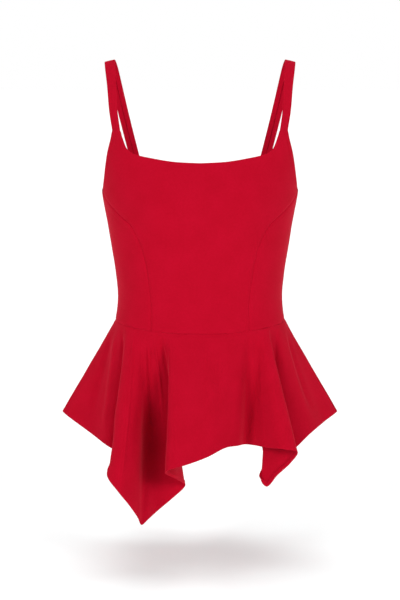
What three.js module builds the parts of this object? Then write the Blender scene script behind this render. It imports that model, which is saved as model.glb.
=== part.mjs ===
// A sleeveless red blouse: a fitted princess-seamed bodice on two shoulder straps, with a
// flared peplum cut as a square round the waist, so that its hem falls in four points.
// Millimetres, +Z up, front towards -Y, +X to the wearer's left. The origin is midway
// between the tops of the two straps, on the shoulders that hold the blouse up.
import * as THREE from "three";

// Driving dimensions
const clothWall = 1.6; // two layers of crepe and their seam allowances
const strapWall = 2.0; // folded crepe, pressed flat
const seamGap = 0.3; // between neighbouring pieces at a seam
const squareness = 2.3; // of the torso's oval sections, 2 is an ellipse
const waistSeam = { side: -385.5, frontDip: 8.5 }; // height at the sides, and its fall to centre front
const bust = { x: 66, z: -204, rise: 7, spreadX: 40, spreadZ: 36 }; // soft fullness the cups are cut for
const strapWidth = 15.6;

// The oval sections of the bodice, top to bottom
const bodiceSections = [
  { z: -95, halfWidth: 150.2, front: 101, back: 84 },
  { z: -140, halfWidth: 148.7, front: 107, back: 92 },
  { z: -196, halfWidth: 144.2, front: 113, back: 97 },
  { z: -242, halfWidth: 136.3, front: 108, back: 92 },
  { z: -278, halfWidth: 130.5, front: 101, back: 84 },
  { z: -315, halfWidth: 124.8, front: 95, back: 76 },
  { z: -351, halfWidth: 122, front: 91, back: 74 },
  { z: -386, halfWidth: 125.7, front: 92, back: 80 },
  { z: -402, halfWidth: 129, front: 94, back: 84 },
];

// The cut edges on one side, as degrees round from centre front and heights
const neckline = [
  { turn: 0, z: -144.2 },
  { turn: 12, z: -142.3 },
  { turn: 24.6, z: -137.6 },
  { turn: 33, z: -134.2 },
  { turn: 38.4, z: -130.8 },
  { turn: 42.3, z: -124.5 },
  { turn: 45.1, z: -113 },
  { turn: 47.6, z: -100 },
];
const armhole = [
  { turn: 56.2, z: -100 },
  { turn: 58.9, z: -113.6 },
  { turn: 63.4, z: -131.8 },
  { turn: 67.8, z: -150.2 },
  { turn: 72.8, z: -169.1 },
  { turn: 78, z: -182.5 },
  { turn: 83, z: -190.5 },
];
const underarm = [
  { turn: 83, z: -190.5 },
  { turn: 87, z: -194.6 },
  { turn: 90, z: -196 },
];
const sideBackEdge = [
  { turn: 90, z: -196 },
  { turn: 104, z: -196.5 },
  { turn: 122, z: -192.5 },
  { turn: 140, z: -188 },
];
const backEdge = [
  { turn: 140, z: -188 },
  { turn: 150, z: -188 },
  { turn: 165, z: -191 },
  { turn: 180, z: -192.5 },
];
const frontSeam = [
  { turn: 31.5, z: -395 },
  { turn: 33.8, z: -326 },
  { turn: 35, z: -294 },
  { turn: 37.2, z: -268 },
  { turn: 40.8, z: -248 },
  { turn: 45.4, z: -233.6 },
  { turn: 52.3, z: -224.5 },
  { turn: 68, z: -206 },
  { turn: 83, z: -190.5 },
];
const backSeam = [
  { turn: 151, z: -385.5 },
  { turn: 150, z: -330 },
  { turn: 147, z: -262 },
  { turn: 140, z: -188 },
];
const strapTab = { inner: 47.6, outer: 56.2 }; // the front strap's seam, degrees round
const strapSeat = { inner: 148.2, outer: 141.8 }; // the back strap's seam

// The strap's centre line over the wearer's left shoulder, between its two seams: how far
// its width turns from straight across, and how far its outer edge drops
const strapPath = [
  { x: 125.5, y: -64, z: -72, turn: 39, drop: 2 },
  { x: 128.8, y: -45, z: -34, turn: 30, drop: 6 },
  { x: 132, y: -20, z: -8, turn: 14, drop: 11 },
  { x: 133, y: 0, z: -1, turn: 4, drop: 13 },
  { x: 130.3, y: 19, z: -10, turn: -4, drop: 12 },
  { x: 124, y: 38, z: -40, turn: -10, drop: 9 },
  { x: 113.6, y: 56, z: -88, turn: -12, drop: 6 },
  { x: 100.9, y: 74, z: -142, turn: -15, drop: 3 },
];

// The peplum's ridges and valleys round the hem: where each starts on the waist seam, in
// degrees round from centre front, where it ends at the hem, and how far it sinks inwards
// some way above the hem
const frontFolds = [
  { name: "right side seam", waist: -90, x: -207, y: 0, z: -526.5 },
  { name: "side trough", waist: -78, x: -159, y: -58, z: -550.5 },
  { name: "side ridge", waist: -70, x: -133.5, y: -92, z: -561.8 },
  { name: "first valley", waist: -62, x: -120, y: -90, z: -570.5 },
  { name: "first fold inside", waist: -58, x: -126.8, y: -116, z: -578.1 },
  { name: "first fold", waist: -54, x: -134, y: -143, z: -593.7 },
  { name: "first fold face", waist: -48, x: -118, y: -164, z: -611.6 },
  { name: "right point rise", waist: -42, x: -102, y: -154, z: -634.5 },
  { name: "right point near edge", waist: -39.5, x: -90.3, y: -138, z: -657.2, sink: 8 },
  { name: "right point", waist: -37.5, x: -85, y: -127, z: -670.5, sink: 28 },
  { name: "right point far edge", waist: -36, x: -77, y: -117, z: -665.5, sink: 36 },
  { name: "deep valley", waist: -33, x: -64, y: -94, z: -658.3, sink: 25 },
  { name: "second fold back", waist: -28, x: -37.5, y: -78, z: -639.5, sink: 15 },
  { name: "second fold turn", waist: -24, x: -23, y: -76, z: -626, sink: 13 },
  { name: "second fold inside", waist: -20, x: -33, y: -122, z: -603.7, sink: 3 },
  { name: "second fold", waist: -16, x: -49.2, y: -166, z: -583.6 },
  { name: "second fold face", waist: -12, x: -42.8, y: -176, z: -576.8 },
  { name: "front panel", waist: -5, x: -20, y: -176, z: -570.3 },
  { name: "front middle", waist: 5, x: 10, y: -170, z: -560.3 },
  { name: "front slope", waist: 17, x: 37, y: -146, z: -551.6 },
  { name: "front valley near side", waist: 26, x: 54, y: -127, z: -552.8 },
  { name: "front valley", waist: 32, x: 67.1, y: -94, z: -557.6, sink: 5 },
  { name: "front valley far side", waist: 36, x: 79.5, y: -103, z: -557, sink: 4 },
  { name: "third fold slope", waist: 40, x: 96.2, y: -123, z: -556.2 },
  { name: "third fold face", waist: 44, x: 121.8, y: -146, z: -553.8 },
  { name: "third fold", waist: 48, x: 140.5, y: -139, z: -559.7 },
  { name: "third fold inside", waist: 50, x: 131.9, y: -126, z: -577.9 },
  { name: "left point near edge", waist: 51, x: 112.6, y: -115, z: -599.4 },
  { name: "left point", waist: 52, x: 97.6, y: -107, z: -618.1 },
  { name: "left point turn", waist: 54, x: 89.4, y: -101, z: -610.3 },
  { name: "left point inside", waist: 56, x: 93.2, y: -95, z: -600.4 },
  { name: "left point back", waist: 59.5, x: 104.5, y: -90, z: -584.3 },
  { name: "left side valley", waist: 66, x: 132.4, y: -103, z: -567.1 },
  { name: "left side ridge", waist: 75, x: 161.2, y: -80, z: -545.4 },
  { name: "left side slope", waist: 83, x: 184, y: -40, z: -535.7 },
  { name: "left side seam", waist: 90, x: 207, y: 0, z: -526.5 },
];
const backFolds = [
  { name: "left side seam", waist: 90, x: 207, y: 0, z: -526.5 },
  { name: "side slope", waist: 97, x: 184, y: 28, z: -540 },
  { name: "side ridge", waist: 106, x: 166, y: 56, z: -556 },
  { name: "side valley", waist: 115, x: 134, y: 66, z: -574 },
  { name: "left point back", waist: 121, x: 112, y: 68, z: -592 },
  { name: "left point turn", waist: 125, x: 98, y: 80, z: -604 },
  { name: "left point", waist: 128, x: 106, y: 95, z: -616 },
  { name: "left fold inside", waist: 131, x: 128, y: 116, z: -590 },
  { name: "left fold", waist: 134, x: 134, y: 134, z: -574 },
  { name: "left fold face", waist: 138, x: 116, y: 140, z: -568 },
  { name: "back slope", waist: 146, x: 84, y: 129, z: -563 },
  { name: "back valley", waist: 158, x: 52, y: 118, z: -560 },
  { name: "back rise", waist: 168, x: 26, y: 126, z: -564 },
  { name: "back ridge", waist: 178, x: 0, y: 136, z: -570 },
  { name: "back panel", waist: 188, x: -26, y: 139, z: -577 },
  { name: "right fold face", waist: 194, x: -46, y: 138, z: -585 },
  { name: "right fold", waist: 199, x: -54, y: 130, z: -591 },
  { name: "right fold inside", waist: 203, x: -40, y: 106, z: -606 },
  { name: "right fold turn", waist: 206, x: -32, y: 88, z: -618 },
  { name: "right fold back", waist: 210, x: -48, y: 84, z: -632 },
  { name: "deep valley", waist: 216, x: -68, y: 92, z: -648 },
  { name: "right point", waist: 222, x: -88, y: 104, z: -655 },
  { name: "right point rise", waist: 228, x: -108, y: 117, z: -630 },
  { name: "side fold face", waist: 234, x: -126, y: 124, z: -606 },
  { name: "side fold", waist: 239, x: -136, y: 112, z: -592 },
  { name: "side fold inside", waist: 244, x: -126, y: 92, z: -580 },
  { name: "side valley back", waist: 252, x: -142, y: 68, z: -566 },
  { name: "side swell", waist: 261, x: -172, y: 42, z: -546 },
  { name: "right side seam", waist: 270, x: -207, y: 0, z: -526.5 },
];

// How finely each piece is divided
const grid = { bodiceRows: 10, strapSteps: 26, peplumRows: 8, perFold: 3 };

const crepe = new THREE.MeshStandardMaterial({ color: 0xbe1129, roughness: 0.85, metalness: 0 });

const radians = THREE.MathUtils.degToRad;

// A smooth value from a table: cubic between rows, through each of them
function fromTable(rows, key, at, field) {
  const last = rows.length - 1;
  const rising = rows[0][key] < rows[last][key];
  const found = rows.findIndex((row) => (rising ? row[key] >= at : row[key] <= at));
  const i = found < 0 ? last : Math.max(1, found);
  const row = (n) => rows[THREE.MathUtils.clamp(n, 0, last)];
  const [before, a, b, after] = [row(i - 2), row(i - 1), row(i), row(i + 1)];
  const span = b[key] - a[key];
  const slope = (low, high) => (high[field] - low[field]) / (high[key] - low[key]);
  const m0 = slope(before, b) * span;
  const m1 = slope(a, after) * span;
  const t = THREE.MathUtils.clamp((at - a[key]) / span, 0, 1);
  return (
    (2 * t ** 3 - 3 * t ** 2 + 1) * a[field] +
    (t ** 3 - 2 * t ** 2 + t) * m0 +
    (-2 * t ** 3 + 3 * t ** 2) * b[field] +
    (t ** 3 - t ** 2) * m1
  );
}

// The middle of the bodice's cloth, at a turn from centre front and a height
function bodicePoint(turn, z) {
  const section = (field) => fromTable(bodiceSections, "z", z, field);
  const [across, ahead] = [Math.sin(radians(turn)), Math.cos(radians(turn))];
  const power = 2 / squareness;
  const x = section("halfWidth") * Math.sign(across) * Math.abs(across) ** power;
  const depth = ahead > 0 ? section("front") : section("back");
  let y = -depth * Math.sign(ahead) * Math.abs(ahead) ** power;
  if (ahead > 0) {
    const offX = (Math.abs(x) - bust.x) / bust.spreadX;
    const offZ = (z - bust.z) / bust.spreadZ;
    y -= bust.rise * Math.exp(-(offX ** 2 + offZ ** 2));
  }
  return new THREE.Vector3(x, y, z);
}

// Straight out from the bodice's cloth
function bodiceNormal(turn, z) {
  const step = 0.5;
  const around = bodicePoint(turn + step, z).sub(bodicePoint(turn - step, z));
  const up = bodicePoint(turn, z + step).sub(bodicePoint(turn, z - step));
  return around.cross(up).normalize();
}

function waistHeight(turn) {
  return waistSeam.side - waistSeam.frontDip * Math.max(0, Math.cos(radians(turn))) ** 2;
}

// Points along a cut edge, evenly spaced in millimetres of cloth
function edgePoints(rows, count) {
  const perDegree = 2.3; // millimetres of cloth in a degree round the torso
  const curve = new THREE.CatmullRomCurve3(
    rows.map((row) => new THREE.Vector3(row.turn * perDegree, row.z, 0)),
    false,
    "centripetal",
  );
  return curve.getSpacedPoints(count).map((p) => ({ turn: p.x / perDegree, z: p.y }));
}

const flip = (points) => points.map((p) => ({ turn: -p.turn, z: p.z }));
const backwards = (points) => [...points].reverse();
const joined = (...runs) => runs.flatMap((run, i) => (i ? run.slice(1) : run));

// A closed wall round a grid of outer and inner points
function wallMesh(name, outer, inner) {
  const columns = outer.length;
  const rows = outer[0].length;
  const positions = [];
  for (const p of [...outer, ...inner].flat()) positions.push(p.x, p.y, p.z);
  const at = (side, i, j) => side * columns * rows + i * rows + j;
  const triangles = [];
  const quad = (a, b, c, d) => triangles.push(a, b, c, a, c, d);
  for (let i = 0; i < columns - 1; i++) {
    for (let j = 0; j < rows - 1; j++) {
      quad(at(0, i, j), at(0, i + 1, j), at(0, i + 1, j + 1), at(0, i, j + 1));
      quad(at(1, i, j), at(1, i, j + 1), at(1, i + 1, j + 1), at(1, i + 1, j));
    }
    quad(at(1, i, 0), at(1, i + 1, 0), at(0, i + 1, 0), at(0, i, 0));
    quad(at(0, i, rows - 1), at(0, i + 1, rows - 1), at(1, i + 1, rows - 1), at(1, i, rows - 1));
  }
  for (let j = 0; j < rows - 1; j++) {
    quad(at(1, 0, j), at(0, 0, j), at(0, 0, j + 1), at(1, 0, j + 1));
    const end = columns - 1;
    quad(at(0, end, j), at(1, end, j), at(1, end, j + 1), at(0, end, j + 1));
  }
  const geometry = new THREE.BufferGeometry();
  geometry.setAttribute("position", new THREE.Float32BufferAttribute(positions, 3));
  geometry.setIndex(triangles);
  geometry.computeVertexNormals();
  const mesh = new THREE.Mesh(geometry, crepe);
  mesh.name = name;
  return mesh;
}

// The wall of a piece, from the middle of its cloth and the offsets to its outer face
function thickened(name, points, offsets) {
  const moved = (way) =>
    points.map((column, i) => column.map((p, j) => p.clone().addScaledVector(offsets[i][j], way)));
  return wallMesh(name, moved(1), moved(-1));
}

// Draws an edge point of a piece in by half the gap at its seam
function pullIn(point, neighbour) {
  point.add(neighbour.clone().sub(point).setLength(seamGap / 2));
}

function pullInSides(columns) {
  const last = columns.length - 1;
  columns[0].forEach((point, j) => pullIn(point, columns[1][j]));
  columns[last].forEach((point, j) => pullIn(point, columns[last - 1][j]));
}

// A bodice panel between two seams, each a function from height to turn, up to the points
// of its top edge. Its rows close up towards the joint's height, so that panels which share
// a seam below the joint share its points too. Above the joint the rows are even.
function bodicePanel(name, { left, right, top, joint, rowsAbove }) {
  const grids = top.map((end) => {
    const share = (end.turn - left(end.z)) / (right(end.z) - left(end.z));
    const turnAt = (z) => left(z) + (right(z) - left(z)) * share;
    const start = waistHeight(turnAt(waistSeam.side));
    const bend = rowsAbove ? joint : end.z;
    const below = rowShares.map((share) => start + (bend - start) * share);
    const rise = (end.z - joint) / rowsAbove;
    const above = Array.from({ length: rowsAbove }, (_, j) => joint + rise * (j + 1));
    return [...below, ...above].map((z) => ({ turn: turnAt(z), z }));
  });
  const points = grids.map((column) => column.map((p) => bodicePoint(p.turn, p.z)));
  pullInSides(points);
  for (const column of points) pullIn(column[0], column[1]);
  const offsets = grids.map((column) =>
    column.map((p, j) => {
      const out = bodiceNormal(p.turn, p.z);
      if (j === 0) out.setZ(0);
      return out.setLength(clothWall / 2);
    }),
  );
  return thickened(name, points, offsets);
}

const rowShares = Array.from(
  { length: grid.bodiceRows + 1 },
  (_, j) => 1 - (1 - j / grid.bodiceRows) ** 1.5,
);

function bodice() {
  const neck = edgePoints(neckline, 10);
  const tab = { turn: strapTab.outer, z: armhole[0].z };
  const sideBack = edgePoints(sideBackEdge, 8);
  const centreBack = edgePoints(backEdge, 7);
  const junction = underarm[0].z; // where the front princess seam meets the armhole
  const frontEdge = (z) => fromTable(z > junction ? armhole : frontSeam, "z", z, "turn");
  const backPrincess = (z) => fromTable(backSeam, "z", z, "turn");
  const mirrored = (seam) => (z) => -seam(z);
  const around = (seam) => (z) => 360 - seam(z);
  const leftPieces = {
    side_front: { rowsAbove: 0, left: frontEdge, right: () => 90, top: edgePoints(underarm, 5) },
    side_back: { rowsAbove: 0, left: () => 90, right: backPrincess, top: sideBack },
  };
  return [
    bodicePanel("bodice_front", {
      joint: junction,
      rowsAbove: 4,
      left: mirrored(frontEdge),
      right: frontEdge,
      top: [...flip([tab]), ...joined(backwards(flip(neck)), neck), tab],
    }),
    ...Object.entries(leftPieces).flatMap(([name, piece]) => [
      bodicePanel(`${name}_left`, piece),
      bodicePanel(`${name}_right`, {
        ...piece,
        left: mirrored(piece.right),
        right: mirrored(piece.left),
        top: backwards(flip(piece.top)),
      }),
    ]),
    bodicePanel("bodice_back", {
      rowsAbove: 0,
      left: backPrincess,
      right: around(backPrincess),
      top: joined(centreBack, backwards(centreBack).map((p) => ({ turn: 360 - p.turn, z: p.z }))),
    }),
  ];
}

// One shoulder strap, sewn end to end to the front tab and the back edge
function strap(name, side) {
  const seat = (from, to, edge) => {
    const points = [from, to].map((turn) => bodicePoint(turn, fromTable(edge, "turn", turn, "z")));
    const across = points[1].clone().sub(points[0]).normalize();
    const centre = points[0].add(points[1]).multiplyScalar(0.5).add(new THREE.Vector3(0, 0, seamGap));
    return { centre, across };
  };
  const front = seat(strapTab.inner, strapTab.outer, neckline);
  const back = seat(strapSeat.inner, strapSeat.outer, backEdge);
  const stations = [
    front,
    ...strapPath.map(({ x, y, z, turn, drop }) => ({
      centre: new THREE.Vector3(x, y, z),
      across: new THREE.Vector3(1, 0, 0)
        .applyAxisAngle(new THREE.Vector3(0, 1, 0), radians(drop))
        .applyAxisAngle(new THREE.Vector3(0, 0, 1), radians(turn)),
    })),
    back,
  ];
  const centreLine = new THREE.CatmullRomCurve3(stations.map((s) => s.centre), false, "centripetal");
  const acrossLine = new THREE.CatmullRomCurve3(stations.map((s) => s.across), false, "centripetal");
  const outer = [];
  const inner = [];
  for (let i = 0; i <= grid.strapSteps; i++) {
    const t = i / grid.strapSteps;
    const centre = centreLine.getPoint(t);
    const across = acrossLine.getPoint(t).normalize();
    const along = centreLine.getTangent(t);
    const out = new THREE.Vector3().crossVectors(along, across).negate();
    if (i === 0 || i === grid.strapSteps) out.setZ(0);
    out.setLength(strapWall / 2);
    const edges = [-0.5, -0.17, 0.17, 0.5].map((share) =>
      centre.clone().addScaledVector(across, share * strapWidth),
    );
    outer.push(edges.map((p) => p.clone().add(out)));
    inner.push(edges.map((p) => p.clone().sub(out)));
  }
  for (const p of [...outer, ...inner].flat()) p.x *= side;
  return wallMesh(name, ...(side < 0 ? [outer, inner] : [outer.reverse(), inner.reverse()]));
}

// Half of the peplum, ruled straight from the waist seam to its rippling hem
function peplumHalf(name, folds, before, after) {
  const rows = [before, ...folds, after];
  const ends = rows.map(({ x, y, z }) => new THREE.Vector3(x, y, z));
  const hem = new THREE.CatmullRomCurve3(ends, false, "centripetal");
  const numbered = rows.map((row, n) => ({ n, waist: row.waist, sink: row.sink ?? 0 }));
  const spans = rows.length - 1;
  const steps = (folds.length - 1) * grid.perFold;
  const at = (share, v) => {
    const place = 1 + share * (folds.length - 1);
    const turn = fromTable(numbered, "n", place, "waist");
    const top = bodicePoint(turn, waistHeight(turn)).sub(new THREE.Vector3(0, 0, seamGap / 2));
    const bottom = hem.getPoint(place / spans);
    const sink = fromTable(numbered, "n", place, "sink");
    const p = top.lerp(bottom, v);
    p.y -= Math.sign(p.y) * sink * Math.sin(Math.PI * v ** 1.6) ** 2;
    return p;
  };
  const points = [];
  const offsets = [];
  const nudge = 0.02 / (folds.length - 1);
  for (let i = 0; i <= steps; i++) {
    const share = i / steps;
    points.push([]);
    offsets.push([]);
    for (let j = 0; j <= grid.peplumRows; j++) {
      const v = 1 - j / grid.peplumRows; // from the hem up
      const around = at(share + nudge, v).sub(at(share - nudge, v));
      const down = at(share, Math.min(1, v + 0.01)).sub(at(share, Math.max(0, v - 0.01)));
      const out = new THREE.Vector3().crossVectors(down, around);
      if (v === 0) out.setZ(0);
      points[i].push(at(share, v));
      offsets[i].push(out.setLength(clothWall / 2));
    }
  }
  pullInSides(points);
  return thickened(name, points, offsets);
}

const blouse = new THREE.Group();
blouse.add(...bodice());
blouse.add(strap("strap_left", 1), strap("strap_right", -1));
const turned = (row, by) => ({ ...row, waist: row.waist + by });
blouse.add(
  peplumHalf("peplum_front", frontFolds, turned(backFolds.at(-2), -360), backFolds[1]),
  peplumHalf("peplum_back", backFolds, frontFolds.at(-2), turned(frontFolds[1], 360)),
);

export default blouse;
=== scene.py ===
import math

import bmesh
import bpy
import numpy as np
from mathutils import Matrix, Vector, noise


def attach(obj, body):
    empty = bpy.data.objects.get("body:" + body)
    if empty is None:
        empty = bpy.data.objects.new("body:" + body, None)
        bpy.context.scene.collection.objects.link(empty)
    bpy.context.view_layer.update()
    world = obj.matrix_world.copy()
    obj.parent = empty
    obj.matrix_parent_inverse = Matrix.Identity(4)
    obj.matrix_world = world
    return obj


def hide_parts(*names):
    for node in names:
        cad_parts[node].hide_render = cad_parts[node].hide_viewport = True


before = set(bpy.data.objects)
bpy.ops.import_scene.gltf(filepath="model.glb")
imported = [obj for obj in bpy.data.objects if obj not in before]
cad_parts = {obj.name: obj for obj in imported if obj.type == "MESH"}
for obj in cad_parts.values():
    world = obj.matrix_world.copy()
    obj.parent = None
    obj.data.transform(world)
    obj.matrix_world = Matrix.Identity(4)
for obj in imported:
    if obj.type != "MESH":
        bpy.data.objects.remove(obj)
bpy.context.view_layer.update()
mm = 0.001
print("stage: frame loaded")

cloth = {
    "thickness": 0.7,  # one layer of crepe
    "proud": 0.8,  # outer face from the middle of the solid's wall
    "edgeRadius": 0.74,  # how tightly an edge is pressed round
    "pastSeam": 0.15,  # how far an edge presses into its neighbour
    "seamDip": {"left": 0.72, "right": 0.72, "top": 0.34, "bottom": 0.34},  # into a seam
    "seamDipWidth": 2.2,
    "turnRidge": 0.16,  # the turned-in layer shows through as a faint step
}

# The torso's oval sections: height, half width, depth in front, depth behind
torso = {
    "squareness": 2.3,
    "waistSide": -385.5,
    "waistDip": 8.5,
    "perDegree": 2.3,  # mm of cloth in a degree round
    "sections": [
        (-402, 129.0, 94, 84), (-386, 125.7, 92, 80), (-351, 122.0, 91, 74), (-315, 124.8, 95, 76),
        (-278, 130.5, 101, 84), (-242, 136.3, 108, 92), (-196, 144.2, 113, 97),
        (-140, 148.7, 107, 92), (-95, 150.2, 101, 84),
    ],
    "bust": {"x": 66, "z": -204, "rise": 7, "spreadX": 40, "spreadZ": 36},
}

# Cut edges and seams: degrees round from centre front, height
cutLines = {
    "neckline": [(0, -144.2), (12, -142.3), (24.6, -137.6), (33, -134.2), (38.4, -130.8),
                 (42.3, -124.5), (45.1, -113), (47.6, -100)],
    "armhole": [(56.2, -100), (58.9, -113.6), (63.4, -131.8), (67.8, -150.2), (72.8, -169.1),
                (78, -182.5), (83, -190.5)],
    "underarm": [(83, -190.5), (87, -194.6), (90, -196)],
    "sideBack": [(90, -196), (104, -196.5), (122, -192.5), (140, -188)],
    "backEdge": [(140, -188), (150, -188), (165, -191), (180, -192.5)],
    "frontSeam": [(31.5, -395), (33.8, -326), (35, -294), (37.2, -268), (40.8, -248),
                  (45.4, -233.6), (52.3, -224.5), (68, -206), (83, -190.5)],
    "backSeam": [(151, -385.5), (150, -330), (147, -262), (140, -188)],
}
joint = -190.5  # where the front princess seam meets the armhole
strapTab = (47.6, 56.2)  # degrees round, the front strap's seam


def smooth(keys, values, at):
    # cubic through every row of a table, its slopes taken from the rows on either side
    keys, values = np.asarray(keys, float), np.asarray(values, float)
    slope = np.empty_like(values)
    slope[1:-1] = (values[2:] - values[:-2]) / (keys[2:] - keys[:-2])
    slope[0] = (values[1] - values[0]) / (keys[1] - keys[0])
    slope[-1] = (values[-1] - values[-2]) / (keys[-1] - keys[-2])
    i = np.clip(np.searchsorted(keys, at) - 1, 0, len(keys) - 2)
    span = keys[i + 1] - keys[i]
    t = np.clip((at - keys[i]) / span, 0, 1)
    return ((2 * t**3 - 3 * t**2 + 1) * values[i] + (t**3 - 2 * t**2 + t) * span * slope[i]
            + (3 * t**2 - 2 * t**3) * values[i + 1] + (t**3 - t**2) * span * slope[i + 1])


def splineAt(points, place):
    # centripetal Catmull-Rom, one unit of place from point to point
    points, place = np.asarray(points, float), np.asarray(place, float)
    last = len(points) - 1
    i = np.clip(np.floor(place).astype(int), 0, last - 1)
    t = (place - i)[..., None]
    a, b = points[i], points[i + 1]
    before = np.where((i > 0)[..., None], points[np.maximum(i - 1, 0)], 2 * a - b)
    after = np.where((i + 2 <= last)[..., None], points[np.minimum(i + 2, last)], 2 * b - a)
    pairs = ((before, a), (a, b), (b, after))
    d0, d1, d2 = [np.linalg.norm(q - p, axis=-1, keepdims=True) ** 0.5 for p, q in pairs]
    t1 = ((a - before) / d0 - (b - before) / (d0 + d1) + (b - a) / d1) * d1
    t2 = ((b - a) / d1 - (after - a) / (d1 + d2) + (after - b) / d2) * d1
    return a + t1 * t + (3 * (b - a) - 2 * t1 - t2) * t**2 + (2 * (a - b) + t1 + t2) * t**3


def spaced(rows, count):
    # points evenly spaced along a cut line, by mm of cloth
    points = np.array([(turn * torso["perDegree"], z) for turn, z in rows])
    fine = splineAt(points, np.linspace(0, len(points) - 1, 400))
    run = np.concatenate([[0], np.cumsum(np.linalg.norm(np.diff(fine, axis=0), axis=1))])
    at = np.linspace(0, run[-1], count + 1)
    turn, z = np.interp(at, run, fine[:, 0]) / torso["perDegree"], np.interp(at, run, fine[:, 1])
    return np.stack([turn, z], 1)


def turnOn(line, z):
    rows = sorted(cutLines[line], key=lambda row: row[1])
    return smooth([row[1] for row in rows], [row[0] for row in rows], z)


def frontEdge(z):
    return np.where(z > joint, turnOn("armhole", z), turnOn("frontSeam", z))


def backPrincess(z):
    return turnOn("backSeam", z)


def torsoPoint(turn, z):
    keys = [row[0] for row in torso["sections"]]
    columns = [smooth(keys, [row[n] for row in torso["sections"]], z) for n in (1, 2, 3)]
    halfWidth, front, back = columns
    across, ahead = np.sin(np.radians(turn)), np.cos(np.radians(turn))
    power = 2 / torso["squareness"]
    x = halfWidth * np.sign(across) * np.abs(across) ** power
    y = -np.where(ahead > 0, front, back) * np.sign(ahead) * np.abs(ahead) ** power
    bust = torso["bust"]
    off = ((np.abs(x) - bust["x"]) / bust["spreadX"]) ** 2 + ((z - bust["z"]) / bust["spreadZ"]) ** 2
    y = y - np.where(ahead > 0, bust["rise"] * np.exp(-off), 0)
    return np.stack([x, y, z + 0 * x], -1)


def unit(vectors):
    return vectors / np.maximum(np.linalg.norm(vectors, axis=-1, keepdims=True), 1e-9)


def torsoOut(turn, z):
    step = 0.5
    around = torsoPoint(turn + step, z) - torsoPoint(turn - step, z)
    up = torsoPoint(turn, z + step) - torsoPoint(turn, z - step)
    return unit(np.cross(around, up))


def waistHeight(turn):
    return torso["waistSide"] - torso["waistDip"] * np.maximum(0, np.cos(np.radians(turn))) ** 2


def shares(count):
    # even steps across a piece, with one finer step beside each edge
    even = np.linspace(0, 1, count + 1)
    return np.sort(np.append(even, [even[1] * 0.55, 1 - even[1] * 0.55]))


def ease(t):
    t = np.clip(t, 0, 1)
    return t * t * (3 - 2 * t)


def creased(flat, table):
    # soft ridges and troughs, each a row of (path through the flat cloth, half width in mm,
    # height in mm, share of its length over which it fades in, and out)
    height = np.zeros(flat.shape[:2])
    for path, halfWidth, rise, fadeIn, fadeOut in table:
        line = splineAt(np.array(path, float), np.linspace(0, len(path) - 1, 40))
        nearest, share = np.full(flat.shape[:2], 1e9), np.zeros(flat.shape[:2])
        for k in range(39):
            a, along = line[k], line[k + 1] - line[k]
            t = np.clip(((flat - a) @ along) / (along @ along), 0, 1)
            away = np.linalg.norm(flat - a - t[..., None] * along, axis=-1)
            closer = away < nearest
            nearest, share = np.where(closer, away, nearest), np.where(closer, (k + t) / 39, share)
        fade = ease(share / max(fadeIn, 1e-3)) * ease((1 - share) / max(fadeOut, 1e-3))
        height += rise * fade * np.exp(-(nearest / halfWidth) ** 2)
    return height


def undulation(points, size, rise):
    # the slight unevenness of cloth that hangs in air
    rows = [[noise.noise(Vector(p) / size) for p in column] for column in points]
    return rise * np.array(rows)


def awayFrom(flat, sides):
    # mm of cloth from each grid point to the nearest of the named sides
    borders = {"left": flat[0], "right": flat[-1], "bottom": flat[:, 0], "top": flat[:, -1]}
    best = np.full(flat.shape[:2], 1e9)
    for side in sides:
        for a, b in zip(borders[side][:-1], borders[side][1:]):
            along = b - a
            t = np.clip(((flat - a) @ along) / max(along @ along, 1e-9), 0, 1)
            best = np.minimum(best, np.linalg.norm(flat - a - t[..., None] * along, axis=-1))
    return best


def sewn(flat, turnIn, seams):
    # how the surface lies at its edges: it dips into a seam, and the turned-in layer
    # shows through as a faint step
    height = np.zeros(flat.shape[:2])
    for side, turn in turnIn.items():
        away = awayFrom(flat, [side])
        height += cloth["turnRidge"] * (1 - ease((away - turn + 1) / 1.8))
        if side in seams:
            height -= cloth["seamDip"][side] * np.exp(-((away / cloth["seamDipWidth"]) ** 2))
    return height


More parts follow.
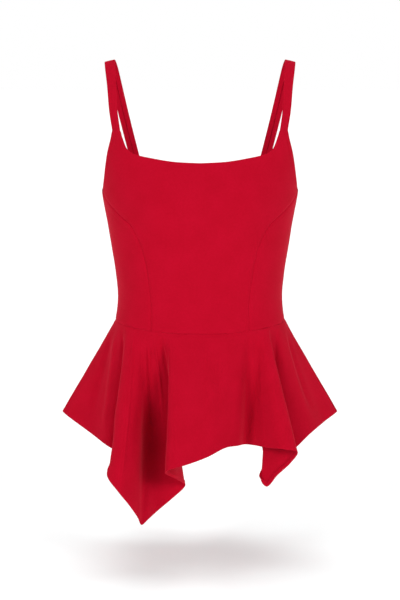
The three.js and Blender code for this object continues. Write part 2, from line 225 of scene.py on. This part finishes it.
def pressIn(bm, flatOf, turnOf):
    # turns every edge of a piece under: extruded ring by ring round a tight bend, then back
    # along the inside, mitred at the corners
    ring = [edge for edge in bm.edges if edge.is_boundary]
    last = {vert for edge in ring for vert in edge.verts}
    source = {vert: vert for vert in last}
    start, out, inward, flatOut = {}, {}, {}, {}
    for vert in last:
        ways, flatWays = [], []
        for edge in (edge for edge in vert.link_edges if edge.is_boundary):
            other, quad = edge.other_vert(vert), edge.link_faces[0]
            along = (other.co - vert.co).normalized()
            middle = quad.calc_center_median() - (vert.co + other.co) / 2
            ways.append((middle - along * middle.dot(along)).normalized())
            along = (flatOf[other] - flatOf[vert]).normalized()
            middle = sum((flatOf[v] for v in quad.verts), Vector((0, 0))) / 4
            middle -= (flatOf[vert] + flatOf[other]) / 2
            flatWays.append((middle - along * middle.dot(along)).normalized())
        mitre = 1 / max((ways[0] + ways[1]).length / 2, 0.62)
        inward[vert] = (ways[0] + ways[1]).normalized() * mitre
        flatOut[vert] = -(flatWays[0] + flatWays[1]).normalized() * mitre
        start[vert], out[vert] = vert.co.copy(), vert.normal.copy()
    r, past = cloth["edgeRadius"], cloth["pastSeam"]
    for vert in last:
        vert.co += inward[vert] * (r - past)
    angles = np.radians([30, 60, 90, 120, 150, 180])
    bend = [(r - r * math.sin(a), r - r * math.cos(a)) for a in angles]
    for step in range(len(bend) + 4):
        made = bmesh.ops.extrude_edge_only(bm, edges=ring)["geom"]
        fresh = {item for item in made if isinstance(item, bmesh.types.BMVert)}
        ring = [item for item in made if isinstance(item, bmesh.types.BMEdge)]
        ring = [edge for edge in ring if edge.verts[0] in fresh and edge.verts[1] in fresh]
        for vert in fresh:
            old = next(e.other_vert(vert) for e in vert.link_edges if e.other_vert(vert) in last)
            origin = source[vert] = source[old]
            if step < len(bend):
                back, deep = bend[step]
            else:
                back = r + (turnOf[origin] - r) * (0.3, 0.6, 0.9, 1)[step - len(bend)]
                deep = 2 * r + 0.0035 * back**2  # it keeps to the curve of the body
            vert.co = start[origin] + inward[origin] * (back - past) - out[origin] * deep
            flatOf[vert] = flatOf[old] + flatOut[origin] * (vert.co - old.co).length
        last = fresh


def shell(name, face, flat, turnIn):
    # a cloth piece: a grid laid on its outer face, with its edges turned under
    columns, rows = face.shape[0] - 1, face.shape[1] - 1
    bm = bmesh.new()
    bmesh.ops.create_grid(bm, x_segments=columns, y_segments=rows, size=0.5)
    flatOf, turnOf = {}, {}
    for vert in bm.verts:
        i, j = round((vert.co.x + 0.5) * columns), round((vert.co.y + 0.5) * rows)
        vert.co, flatOf[vert] = Vector(face[i, j]), Vector(flat[i, j])
        sides = [("left", i == 0), ("right", i == columns), ("bottom", j == 0), ("top", j == rows)]
        turnOf[vert] = min([turnIn[side] for side, there in sides if there], default=0)
    bm.normal_update()
    pressIn(bm, flatOf, turnOf)
    uv = bm.loops.layers.uv.new("UVMap")
    for quad in bm.faces:
        for loop in quad.loops:
            loop[uv].uv = flatOf[loop.vert] * mm
    bmesh.ops.scale(bm, vec=(mm, mm, mm), verts=bm.verts)
    mesh = bpy.data.meshes.new(name)
    bm.to_mesh(mesh)
    bm.free()
    mesh.shade_smooth()
    piece = bpy.data.objects.new(name, mesh)
    bpy.context.collection.objects.link(piece)
    layer = piece.modifiers.new("cloth", "SOLIDIFY")
    layer.thickness = cloth["thickness"] * mm
    layer.offset = -1
    print(f"stage: {name} made, {len(mesh.polygons)} faces")
    return piece


def torsoPanel(name, panel):
    # a bodice panel between two seams, from the waist up to its cut top edge
    top = np.array(panel["top"])
    ends, left, right = top[:, 1], panel["left"], panel["right"]
    share = (top[:, 0] - left(ends)) / (right(ends) - left(ends))
    leftWaist, rightWaist = left(torso["waistSide"]), right(torso["waistSide"])
    start = waistHeight(leftWaist + (rightWaist - leftWaist) * share)[:, None]
    bend = np.full_like(ends, joint)[:, None] if panel["rowsAbove"] else ends[:, None]
    z = start + (bend - start) * shares(panel["rows"])
    if panel["rowsAbove"]:
        z = np.hstack([z, bend + (ends[:, None] - bend) * shares(panel["rowsAbove"])[1:]])
    turn = left(z) + (right(z) - left(z)) * share[:, None]
    middle = torsoPoint(turn, z)
    centre = len(top) // 2
    span = np.linalg.norm(np.diff(middle, axis=0), axis=-1)
    run = np.vstack([np.zeros(z.shape[1]), np.cumsum(span, axis=0)])
    flat = np.stack([run - run[centre], z], -1)  # laid out flat, mm
    out = torsoOut(turn, z)
    relief = sewn(flat, panel["turnIn"], panel["seams"])
    paths = [([(t * torso["perDegree"], h) for t, h in path], *rest)
             for path, *rest in panel["creases"]]
    relief += creased(np.stack([turn * torso["perDegree"], z], -1), paths)
    relief += undulation(middle, 70, 0.5) + undulation(middle, 24, 0.16)
    face = middle + out * (cloth["proud"] + relief)[..., None]
    return shell(name, face, flat, panel["turnIn"])


# Bodice: rows of creases are (path of (degrees, height), half width, rise, fade in, fade out)
bodice = {
    "columns": {"neck": 56, "tab": 7, "sideFront": 44, "sideBack": 48, "back": 34},
    "rows": 76,
    "rowsAbove": 32,
    "turnIn": {"left": 8, "right": 8, "bottom": 8, "top": 7},
    "frontCreases": [
        ([(-14, -372), (-2, -369), (11, -373)], 7, -0.35, 0.4, 0.4),
        ([(-30, -352), (-20, -347), (-9, -351)], 8, -0.4, 0.4, 0.5),
        ([(6, -357), (17, -352), (30, -355)], 9, -0.4, 0.5, 0.3),
        ([(-66, -172), (-52, -181), (-40, -184)], 9, -0.5, 0.1, 0.7),
        ([(64, -168), (53, -178), (43, -183)], 9, -0.45, 0.1, 0.7),
    ],
    "sideCreases": [
        ([(88, -352), (70, -348), (46, -355)], 7, -0.6, 0.2, 0.6),
        ([(90, -338), (76, -333), (60, -335)], 6, -0.45, 0.2, 0.6),
        ([(90, -366), (72, -363), (52, -367)], 6, -0.4, 0.2, 0.6),
        ([(88, -214), (74, -222), (60, -226)], 8, -0.5, 0.1, 0.7),
    ],
    "sideBackCreases": [
        ([(91, -351), (108, -346), (134, -352)], 8, -0.6, 0.2, 0.6),
        ([(91, -336), (104, -330), (120, -333)], 6, -0.4, 0.2, 0.6),
        ([(92, -368), (112, -364), (140, -369)], 7, -0.5, 0.2, 0.6),
        ([(93, -216), (108, -225), (124, -228)], 8, -0.45, 0.1, 0.7),
    ],
    "backCreases": [
        ([(158, -354), (174, -348), (196, -352)], 9, -0.7, 0.4, 0.4),
        ([(166, -368), (182, -364), (204, -370)], 7, -0.5, 0.3, 0.5),
        ([(154, -338), (166, -335), (180, -337)], 8, -0.4, 0.4, 0.5),
        ([(150, -214), (160, -220), (170, -221)], 9, -0.4, 0.2, 0.6),
    ],
}


def mirroredPanel(panel):
    left, right = panel["left"], panel["right"]
    flip = [(-turn, z) for turn, z in reversed(list(panel["top"]))]
    closer, higher = 0.97, 3  # the creases aren't quite the same on both sides
    creases = [([(-t * closer, z + higher) for t, z in path], *rest) for path, *rest in panel["creases"]]
    return {**panel, "left": lambda z: -right(z), "right": lambda z: -left(z),
            "top": flip, "creases": creases}


def makeBodice():
    neck = spaced(cutLines["neckline"], bodice["columns"]["neck"])
    tab = [(turn, -100) for turn in np.linspace(*strapTab, bodice["columns"]["tab"] + 1)[1:]]
    half = [*map(tuple, neck), *tab]
    common = {"rows": bodice["rows"], "rowsAbove": 0, "turnIn": bodice["turnIn"],
              "seams": ["left", "right", "bottom"]}
    front = {
        **common, "rowsAbove": bodice["rowsAbove"], "creases": bodice["frontCreases"],
        "left": lambda z: -frontEdge(z), "right": frontEdge,
        "top": [(-turn, z) for turn, z in reversed(half)] + half[1:],
    }
    sideFront = {
        **common, "creases": bodice["sideCreases"],
        "left": frontEdge, "right": lambda z: 90 + 0 * z,
        "top": spaced(cutLines["underarm"], bodice["columns"]["sideFront"]),
    }
    sideBack = {
        **common, "creases": bodice["sideBackCreases"],
        "left": lambda z: 90 + 0 * z, "right": backPrincess,
        "top": spaced(cutLines["sideBack"], bodice["columns"]["sideBack"]),
    }
    halfBack = [tuple(row) for row in spaced(cutLines["backEdge"], bodice["columns"]["back"])]
    back = {
        **common, "creases": bodice["backCreases"],
        "left": backPrincess, "right": lambda z: 360 - backPrincess(z),
        "top": halfBack + [(360 - turn, z) for turn, z in reversed(halfBack[:-1])],
    }
    return {
        "bodice_front": torsoPanel("crepe_bodice_front", front),
        "side_front_left": torsoPanel("crepe_side_front_left", sideFront),
        "side_front_right": torsoPanel("crepe_side_front_right", mirroredPanel(sideFront)),
        "side_back_left": torsoPanel("crepe_side_back_left", sideBack),
        "side_back_right": torsoPanel("crepe_side_back_right", mirroredPanel(sideBack)),
        "bodice_back": torsoPanel("crepe_bodice_back", back),
    }


# Straps: a strip folded so that its two edges meet underneath. Rows of the path are x, y, z,
# how far the width turns from straight across, and how far its outer edge drops, in degrees
strap = {
    "width": 15.6,
    "proud": 0.95,
    "turnUnder": 7.2,
    "tuck": 7,  # sewn in behind the bodice's edge
    "behind": 1.6,
    "crown": 0.25,
    "across": 10,
    "along": 190,
    "seat": (148.2, 141.8),
    "path": [
        (125.5, -64, -72, 39, 2), (128.8, -45, -34, 30, 6), (132, -20, -8, 14, 11),
        (133, 0, -1, 4, 13), (130.3, 19, -10, -4, 12), (124, 38, -40, -10, 9),
        (113.6, 56, -88, -12, 6), (100.9, 74, -142, -15, 3),
    ],
}


def makeStrap(name, side):
    def seat(ends, line):
        rows = cutLines[line]
        turns = np.array(ends, float)
        points = torsoPoint(turns, smooth([t for t, z in rows], [z for t, z in rows], turns))
        return points.mean(0) + (0, 0, 0.3), unit(points[1] - points[0])

    stations = [seat(strapTab, "neckline")]
    for x, y, z, turn, drop in strap["path"]:
        turn, drop = math.radians(turn), math.radians(drop)
        sideways = math.cos(drop)
        across = np.array([sideways * math.cos(turn), sideways * math.sin(turn), -math.sin(drop)])
        stations.append((np.array([x, y, z], float), across))
    stations.append(seat(strap["seat"], "backEdge"))
    place = shares(strap["along"]) * (len(stations) - 1)
    centre = splineAt([s[0] for s in stations], place)
    across = unit(splineAt([s[1] for s in stations], place))
    out = unit(-np.cross(np.gradient(centre, axis=0), across))
    out[:, 2:] *= ease(np.minimum(place, place[-1] - place) / 0.15)[:, None]
    out = unit(out)
    tuckSteps = (0.2, 0.4, 0.7, 1)
    for end, way in ((0, 1), (-1, -1)):
        down = unit(centre[end] - centre[end + way])
        extra = [centre[end] + down * strap["tuck"] * share
                 - out[end] * strap["behind"] * ease(share * 2) for share in tuckSteps]
        rows = [(extra, centre), ([across[end]] * len(extra), across), ([out[end]] * len(extra), out)]
        if end == 0:
            centre, across, out = [np.vstack([added[::-1], kept]) for added, kept in rows]
        else:
            centre, across, out = [np.vstack([kept, added]) for added, kept in rows]
    widthShare = np.linspace(-0.5, 0.5, strap["across"] + 1)
    crown = strap["crown"] * (1 - (2 * widthShare) ** 2)
    middle = centre[None] + across[None] * (widthShare * strap["width"])[:, None, None]
    run = np.append(0, np.cumsum(np.linalg.norm(np.diff(centre, axis=0), axis=1)))
    flat = np.stack(np.broadcast_arrays((widthShare * strap["width"])[:, None], run[None]), -1).copy()
    relief = strap["proud"] + crown[:, None] - strap["crown"] + undulation(middle, 30, 0.25)
    face = middle + out[None] * relief[..., None]
    face[..., 0] *= side
    if side < 0:
        face = face[::-1]
    turnIn = {"left": strap["turnUnder"], "right": strap["turnUnder"], "bottom": 2, "top": 2}
    return shell(name, face, flat, turnIn)


# Peplum: a square with a round waist hole, so that its hem falls in points. Rows are the
# folds round the hem: degrees on the waist seam, hem x, y, z, and how far it sinks part-way
peplum = {
    "holeRadius": 112,
    "rows": 78,
    "columns": 430,
    "turnIn": {"left": 8, "right": 8, "bottom": 5.5, "top": 8},
    "front": [
        (-90, -207, 0, -526.5, 0), (-78, -159, -58, -550.5, 0), (-70, -133.5, -92, -561.8, 0),
        (-62, -120, -90, -570.5, 0), (-58, -126.8, -116, -578.1, 0), (-54, -134, -143, -593.7, 0),
        (-48, -118, -164, -611.6, 0), (-42, -102, -154, -634.5, 0),
        (-39.5, -90.3, -138, -657.2, 8), (-37.5, -85, -127, -670.5, 28),
        (-36, -77, -117, -665.5, 36), (-33, -64, -94, -658.3, 25), (-28, -37.5, -78, -639.5, 15),
        (-24, -23, -76, -626, 13), (-20, -33, -122, -603.7, 3), (-16, -49.2, -166, -583.6, 0),
        (-12, -42.8, -176, -576.8, 0), (-5, -20, -176, -570.3, 0), (5, 10, -170, -560.3, 0),
        (17, 37, -146, -551.6, 0), (26, 54, -127, -552.8, 0), (32, 67.1, -94, -557.6, 5),
        (36, 79.5, -103, -557, 4), (40, 96.2, -123, -556.2, 0), (44, 121.8, -146, -553.8, 0),
        (48, 140.5, -139, -559.7, 0), (50, 131.9, -126, -577.9, 0), (51, 112.6, -115, -599.4, 0),
        (52, 97.6, -107, -618.1, 0), (54, 89.4, -101, -610.3, 0), (56, 93.2, -95, -600.4, 0),
        (59.5, 104.5, -90, -584.3, 0), (66, 132.4, -103, -567.1, 0), (75, 161.2, -80, -545.4, 0),
        (83, 184, -40, -535.7, 0), (90, 207, 0, -526.5, 0),
    ],
    "back": [
        (90, 207, 0, -526.5, 0), (97, 184, 28, -540, 0), (106, 166, 56, -556, 0),
        (115, 134, 66, -574, 0),
        (121, 112, 68, -592, 0), (125, 98, 80, -604, 0), (128, 106, 95, -616, 0),
        (131, 128, 116, -590, 0), (134, 134, 134, -574, 0), (138, 116, 140, -568, 0),
        (146, 84, 129, -563, 0), (158, 52, 118, -560, 0), (168, 26, 126, -564, 0),
        (178, 0, 136, -570, 0), (188, -26, 139, -577, 0), (194, -46, 138, -585, 0),
        (199, -54, 130, -591, 0), (203, -40, 106, -606, 0), (206, -32, 88, -618, 0),
        (210, -48, 84, -632, 0), (216, -68, 92, -648, 0), (222, -88, 104, -655, 0),
        (228, -108, 117, -630, 0), (234, -126, 124, -606, 0), (239, -136, 112, -592, 0),
        (244, -126, 92, -580, 0), (252, -142, 68, -566, 0), (261, -172, 42, -546, 0),
        (270, -207, 0, -526.5, 0),
    ],
    # path of (degrees on the waist seam, share of the way down), half width, rise, fades
    "frontCreases": [
        ([(-82, 0.1), (-80.5, 0.5), (-80, 0.9)], 6, -2.4, 0.2, 0.3),
        ([(-75, 0.06), (-73.5, 0.5), (-73, 0.95)], 7, 2.2, 0.2, 0.2),
        ([(-63, 0.05), (-61, 0.4), (-60, 0.85)], 5, -3, 0.2, 0.3),
        ([(-47, 0.03), (-46, 0.5), (-46.5, 0.95)], 2.6, 1.2, 0.1, 0.2),
        ([(-56, 0.62), (-55, 0.8), (-54.5, 0.97)], 9, -2.4, 0.5, 0.15),
        ([(-33.5, 0.05), (-34, 0.3), (-34.5, 0.6)], 4, -3.4, 0.2, 0.4),
        ([(-29, 0.04), (-28.5, 0.3), (-29, 0.6)], 2.4, 2.2, 0.2, 0.5),
        ([(-24.5, 0.03), (-23.5, 0.3), (-23, 0.6)], 3.4, -3.4, 0.2, 0.5),
        ([(2, 0.03), (3, 0.35), (5, 0.7)], 8, 1.6, 0.2, 0.6),
        ([(11, 0.08), (11, 0.4), (12, 0.75)], 8, -1.6, 0.2, 0.5),
        ([(38, 0.04), (37.5, 0.3), (35.5, 0.6), (33, 0.95)], 7, -2.6, 0.2, 0.2),
        ([(62, 0.04), (60, 0.4), (59, 0.8)], 5, -1.5, 0.3, 0.4),
        ([(79, 0.08), (78.5, 0.5), (79.5, 0.9)], 6, -2.6, 0.2, 0.3),
    ],
    "backCreases": [
        ([(98, 0.08), (99.5, 0.5), (99, 0.9)], 6, -2.4, 0.2, 0.3),
        ([(108, 0.05), (107, 0.4), (106.5, 0.85)], 7, 1.9, 0.2, 0.3),
        ([(123, 0.05), (123.5, 0.4), (125, 0.8)], 4, -2.6, 0.2, 0.4),
        ([(141, 0.06), (140, 0.35), (139, 0.75)], 6, -1.8, 0.3, 0.4),
        ([(152, 0.04), (153, 0.45), (155, 0.9)], 8, -2.2, 0.2, 0.3),
        ([(171, 0.05), (172, 0.4), (173, 0.7)], 7, 1.5, 0.2, 0.5),
        ([(183, 0.08), (182, 0.5), (183, 0.9)], 8, -2, 0.3, 0.3),
        ([(204, 0.04), (204.5, 0.35), (205, 0.65)], 4, -3, 0.2, 0.5),
        ([(214, 0.05), (215, 0.4), (216, 0.8)], 6, 1.6, 0.2, 0.4),
        ([(231, 0.05), (230, 0.4), (229, 0.75)], 5, -2.2, 0.2, 0.4),
        ([(248, 0.06), (249, 0.5), (250, 0.9)], 6, -2.4, 0.2, 0.2),
        ([(262, 0.08), (260.5, 0.5), (260, 0.92)], 6, -2.2, 0.2, 0.3),
    ],
}


def makePeplum(name, folds, before, after, creases):
    table = np.array([before, *folds, after], float)
    spans = len(folds) - 1
    fine = 1 + np.linspace(0, 1, 3000) * spans
    hemSteps = np.linalg.norm(np.diff(splineAt(table[:, 1:4], fine), axis=0), axis=1)
    hemRun = np.cumsum(np.append(0, hemSteps))
    place = np.interp(shares(peplum["columns"]) * hemRun[-1], hemRun, fine)
    order = np.arange(len(table))
    turn, sink = smooth(order, table[:, 0], place), smooth(order, table[:, 4], place)
    v = 1 - shares(peplum["rows"])  # from the hem up
    top = torsoPoint(turn, waistHeight(turn))
    hem = splineAt(table[:, 1:4], place)
    middle = top[:, None] + (hem - top)[:, None] * v[None, :, None]
    middle[..., 1] -= np.sign(middle[..., 1]) * sink[:, None] * np.sin(np.pi * v**1.6) ** 2
    out = np.cross(np.gradient(middle, axis=0), np.gradient(middle, axis=1))
    out[..., 2] *= ease(v / 0.06)
    out = unit(out)
    angle = np.radians(turn)[:, None]
    radius = peplum["holeRadius"] + np.linalg.norm(hem - top, axis=1)[:, None] * v
    flat = np.stack([radius * np.sin(angle), -radius * np.cos(angle)], -1)
    paths = []
    for path, *rest in creases:
        flatPath = []
        for t, way in path:
            reach = peplum["holeRadius"] + way * np.interp(t, turn, np.linalg.norm(hem - top, axis=1))
            flatPath.append((reach * math.sin(math.radians(t)), -reach * math.cos(math.radians(t))))
        paths.append((flatPath, *rest))
    relief = sewn(flat, peplum["turnIn"], ["left", "right", "top"]) + creased(flat, paths)
    relief += undulation(middle, 60, 0.7) + undulation(middle, 22, 0.2)
    face = middle + out * (cloth["proud"] + relief)[..., None]
    return shell(name, face, flat, peplum["turnIn"])


def turned(row, by):
    return (row[0] + by, *row[1:])


pieces = makeBodice()
pieces["strap_left"] = makeStrap("crepe_strap_left", 1)
pieces["strap_right"] = makeStrap("crepe_strap_right", -1)
front, back = peplum["front"], peplum["back"]
pieces["peplum_front"] = makePeplum("crepe_peplum_front", front, turned(back[-2], -360), back[1],
                                    peplum["frontCreases"])
pieces["peplum_back"] = makePeplum("crepe_peplum_back", back, front[-2], turned(front[1], 360),
                                   peplum["backCreases"])
print("stage: cloth made")


def linear(hexColour):
    # an sRGB hex colour as linear red, green and blue
    parts = [int(hexColour[i:i + 2], 16) / 255 for i in (1, 3, 5)]
    return [c / 12.92 if c <= 0.04045 else ((c + 0.055) / 1.055) ** 2.4 for c in parts] + [1]


def addNode(tree, kind, settings=(), inputs=(), links=()):
    # a node with its settings, its sockets' values and the sockets that it reads
    node = tree.nodes.new(kind)
    for name, value in dict(settings).items():
        setattr(node, name, value)
    for name, value in dict(inputs).items():
        node.inputs[name].default_value = value
    for name, source in dict(links).items():
        tree.links.new(source, node.inputs[name])
    return node


crepe = {
    "colour": "#BA0624",
    "lighter": "#C20829",
    "roughness": 0.88,
    "diffuseRoughness": 0.5,
    "specular": 0.05,
    "sheen": 0.45,
    "sheenRoughness": 0.3,
    "sheenTint": "#F06070",
    "cloud": 34,  # mm, uneven dye
    "mottle": 3.2,
    "grain": 0.9,  # mm, the pebbled grain of crepe, near 0.5 in life, drawn coarser to show
    "thread": 0.42,  # mm from thread to thread
}


def crepeMaterial():
    # wool-like polyester crepe, piece-dyed: matt and dense, with a fine dry grain that breaks
    # up the light, and a soft bloom where the cloth turns away from the eye
    material = bpy.data.materials.new("dyed_polyester_crepe")
    material.use_nodes = True
    tree = material.node_tree
    tree.nodes.clear()
    uv = addNode(tree, "ShaderNodeUVMap", {"uv_map": "UVMap"}).outputs["UV"]
    cloud = addNode(tree, "ShaderNodeTexNoise", inputs={"Scale": 1000 / crepe["cloud"], "Detail": 3.0},
                    links={"Vector": uv})
    mottle = addNode(tree, "ShaderNodeTexNoise", inputs={"Scale": 1000 / crepe["mottle"], "Detail": 2.0},
                     links={"Vector": uv})
    both = addNode(tree, "ShaderNodeMath", {"operation": "ADD"},
                   links={0: cloud.outputs[0], 1: mottle.outputs[0]})
    level = addNode(tree, "ShaderNodeMapRange", inputs={"From Min": 0.7, "From Max": 1.3},
                    links={"Value": both.outputs[0]})
    colour = addNode(tree, "ShaderNodeMix", {"data_type": "RGBA"},
                     {6: linear(crepe["colour"]), 7: linear(crepe["lighter"])}, {0: level.outputs[0]})
    grain = addNode(tree, "ShaderNodeTexNoise", inputs={"Scale": 1000 / crepe["grain"], "Detail": 2.0},
                    links={"Vector": uv})
    grainBump = addNode(tree, "ShaderNodeBump", inputs={"Strength": 0.35, "Distance": 0.00015},
                        links={"Height": grain.outputs[0]})
    normal = grainBump.outputs[0]
    for direction in ("X", "Y"):
        threads = addNode(tree, "ShaderNodeTexWave",
                          {"wave_type": "BANDS", "bands_direction": direction},
                          {"Scale": math.pi / 10 / (crepe["thread"] * mm), "Distortion": 0.6,
                           "Detail": 1.0}, {"Vector": uv})
        bump = addNode(tree, "ShaderNodeBump", inputs={"Strength": 0.15, "Distance": 0.00008},
                       links={"Height": threads.outputs[1], "Normal": normal})
        normal = bump.outputs[0]
    shader = addNode(tree, "ShaderNodeBsdfPrincipled", inputs={
        "Roughness": crepe["roughness"], "Diffuse Roughness": crepe["diffuseRoughness"],
        "Specular IOR Level": crepe["specular"],
        "Sheen Weight": crepe["sheen"], "Sheen Roughness": crepe["sheenRoughness"],
        "Sheen Tint": linear(crepe["sheenTint"]),
    }, links={"Base Color": colour.outputs[2], "Normal": normal})
    addNode(tree, "ShaderNodeOutputMaterial", links={"Surface": shader.outputs[0]})
    return material


material = crepeMaterial()
for node, piece in pieces.items():
    piece.data.materials.append(material)
    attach(piece, "root")
    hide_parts(node)
print("stage: cloth dressed and declared")


room = {
    "floor": -0.75,
    "floorSize": 40,
    "floorColour": "#F1F5F5",
    "floorGlow": 0.13,  # a lit white sweep
    "worldLight": 0.1,
    "suns": [  # spread in degrees, and where each stands: degrees to the right of front, and up
        {"name": "overhead", "strength": 0.62, "spread": 50, "side": 0, "up": 90},
        {"name": "floor", "strength": 1.42, "spread": 60, "side": 0, "up": 90, "floorOnly": True},
        {"name": "key", "strength": 1.28, "spread": 24, "side": -37, "up": 22},
        {"name": "fill", "strength": 1.35, "spread": 24, "side": 36, "up": 20},
        {"name": "rim_right", "strength": 0.62, "spread": 40, "side": -125, "up": 12},
        {"name": "rim_left", "strength": 0.62, "spread": 40, "side": 125, "up": 12},
    ],
}


def makeRoom():
    bm = bmesh.new()
    bmesh.ops.create_grid(bm, x_segments=1, y_segments=1, size=room["floorSize"] / 2)
    bmesh.ops.translate(bm, vec=(0, 0, room["floor"]), verts=bm.verts)
    mesh = bpy.data.meshes.new("floor")
    bm.to_mesh(mesh)
    bm.free()
    floor = bpy.data.objects.new("floor", mesh)
    bpy.context.collection.objects.link(floor)
    paint = bpy.data.materials.new("matt_white_floor_paint")
    paint.use_nodes = True
    shader = paint.node_tree.nodes["Principled BSDF"]
    shader.inputs["Base Color"].default_value = linear(room["floorColour"])
    shader.inputs["Roughness"].default_value = 0.9
    shader.inputs["Specular IOR Level"].default_value = 0.1
    shader.inputs["Emission Color"].default_value = (1, 1, 1, 1)
    seen = addNode(paint.node_tree, "ShaderNodeLightPath")
    glow = addNode(paint.node_tree, "ShaderNodeMath", {"operation": "MULTIPLY"}, {1: room["floorGlow"]},
                   {0: seen.outputs["Is Camera Ray"]})
    paint.node_tree.links.new(glow.outputs[0], shader.inputs["Emission Strength"])
    mesh.materials.append(paint)
    floorGroup = bpy.data.collections.new("floor_only")
    floorGroup.objects.link(floor)

    world = bpy.data.worlds.new("studio")
    bpy.context.scene.world = world
    world.use_nodes = True
    tree = world.node_tree
    tree.nodes.clear()
    seen = addNode(tree, "ShaderNodeBackground", inputs={"Color": (1, 1, 1, 1), "Strength": 1.0})
    lit = addNode(tree, "ShaderNodeBackground",
                  inputs={"Color": (1, 1, 1, 1), "Strength": room["worldLight"]})
    path = addNode(tree, "ShaderNodeLightPath")
    mixed = addNode(tree, "ShaderNodeMixShader",
                    links={0: path.outputs["Is Camera Ray"], 1: lit.outputs[0], 2: seen.outputs[0]})
    addNode(tree, "ShaderNodeOutputWorld", links={"Surface": mixed.outputs[0]})

    for row in room["suns"]:
        sun = bpy.data.lights.new(row["name"], "SUN")
        sun.energy, sun.angle = row["strength"], math.radians(row["spread"])
        lamp = bpy.data.objects.new(row["name"], sun)
        side, up = math.radians(row["side"]), math.radians(row["up"])
        place = Vector((math.cos(up) * math.sin(side), -math.cos(up) * math.cos(side), math.sin(up)))
        lamp.rotation_euler = (-place).to_track_quat("-Z", "Y").to_euler()
        lamp.location = place * 3
        if row.get("floorOnly"):  # it keeps the sweep white round the garment's shadow
            lamp.light_linking.receiver_collection = floorGroup
        bpy.context.collection.objects.link(lamp)
    bpy.context.scene.view_settings.view_transform = "Standard"


view = {"elevation": 8, "distance": 3.0, "target": (0, 0, -0.357), "lens": 120}


def makeCamera():
    data = bpy.data.cameras.new("camera")
    data.lens, data.sensor_fit, data.sensor_height = view["lens"], "VERTICAL", 36
    camera = bpy.data.objects.new("camera", data)
    rise = math.radians(view["elevation"])
    target = Vector(view["target"])
    camera.location = target + view["distance"] * Vector((0, -math.cos(rise), math.sin(rise)))
    camera.rotation_euler = (target - camera.location).to_track_quat("-Z", "Y").to_euler()
    bpy.context.collection.objects.link(camera)
    bpy.context.scene.camera = camera


makeRoom()
makeCamera()
print("stage: room, lights and camera set")
